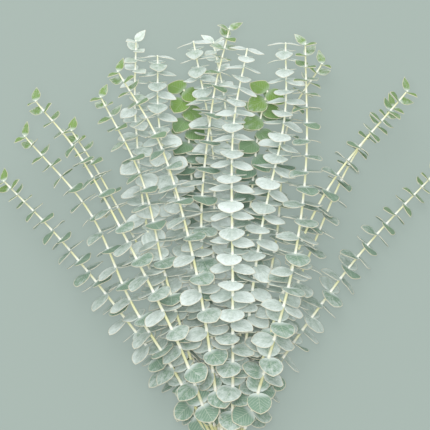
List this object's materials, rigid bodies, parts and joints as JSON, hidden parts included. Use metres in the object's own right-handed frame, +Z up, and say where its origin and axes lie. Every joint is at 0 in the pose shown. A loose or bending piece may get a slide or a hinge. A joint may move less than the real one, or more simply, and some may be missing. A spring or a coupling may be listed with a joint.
{
  "type": "eucalyptus bunch",
  "caption": "Tied bunch of baby blue eucalyptus branches laid flat and fanned out, with round silvery leaves in opposite pairs.",
  "frame": {"origin": "middle of the bunch's underside, on the table", "axes": "+Y from the cut ends to the leafy tips, +Z up from the table, +X to the right seen from above"},
  "size_m": [0.5622, 0.6072, 0.1279],
  "materials": {
    "silver_leaf": "matt, with a waxy bloom",
    "green_leaf": "satin young leaf",
    "twine": "matt jute"
  },
  "bodies": {
    "root": {"leafy_stem_01": "silver_leaf", "leafy_stem_02": "silver_leaf", "leafy_stem_03": "silver_leaf", "leafy_stem_04": "silver_leaf", "leafy_stem_05": "silver_leaf", "leafy_stem_06": "silver_leaf", "leafy_stem_07": "silver_leaf", "leafy_stem_08": "silver_leaf", "leafy_stem_09": "silver_leaf", "leafy_stem_10": "green_leaf", "leafy_stem_11": "silver_leaf", "leafy_stem_12": "silver_leaf", "leafy_stem_13": "silver_leaf", "leafy_stem_14": "green_leaf", "leafy_stem_15": "silver_leaf", "leafy_stem_16": "silver_leaf", "leafy_stem_17": "silver_leaf", "leafy_stem_18": "silver_leaf", "leafy_stem_19": "silver_leaf", "leafy_stem_20": "silver_leaf", "tie": "twine"}
  },
  "joints": []
}
